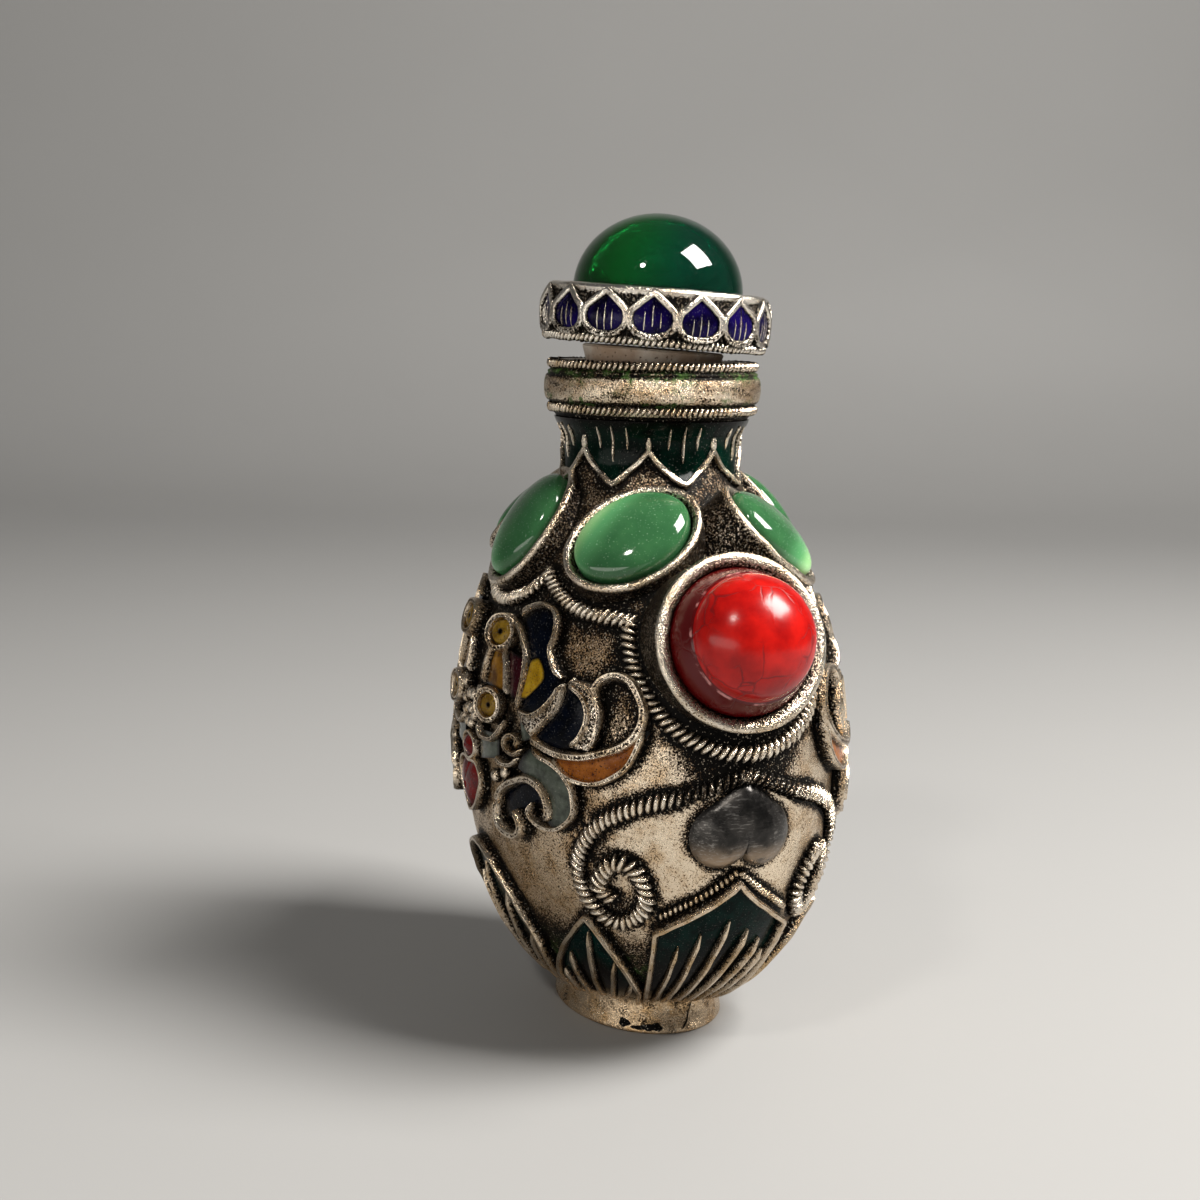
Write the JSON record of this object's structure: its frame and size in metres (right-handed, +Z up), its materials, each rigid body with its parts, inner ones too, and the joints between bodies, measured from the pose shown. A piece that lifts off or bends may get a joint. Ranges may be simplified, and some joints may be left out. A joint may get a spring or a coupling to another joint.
{
  "type": "snuff bottle",
  "caption": "Small oval metal snuff bottle with set stones, rope and lotus relief, and a domed lift-out stopper on a tapered plug.",
  "frame": {"origin": "middle of the foot's underside, on the surface that the bottle stands on", "axes": "+Z up along the neck, -Y out of the front broad face, +X out of the narrow side with a red stone"},
  "size_m": [0.063, 0.038, 0.0809],
  "materials": {
    "antique_silver": "tarnished silver-toned cast metal, dark in the hollows, with enamel in the ornament",
    "red_stone": "polished red dyed stone with fine dark veins",
    "green_stone": "polished green stone with a silky band of light",
    "stopper_silver": "tarnished silver-toned metal with deep blue enamel cells",
    "dome_stone": "glassy deep green polished stone",
    "plug_cork": "dry pale cork"
  },
  "bodies": {
    "root": {"bottle_body": "antique_silver", "coral_cabochon_right": "red_stone", "coral_cabochon_left": "red_stone", "jade_cabochon_front_mid": "green_stone", "jade_cabochon_front_right": "green_stone", "jade_cabochon_front_left": "green_stone", "jade_cabochon_back_mid": "green_stone", "jade_cabochon_back_right": "green_stone", "jade_cabochon_back_left": "green_stone", "stopper_cap": "stopper_silver", "stopper_dome": "dome_stone", "stopper_plug": "plug_cork"}
  },
  "joints": []
}
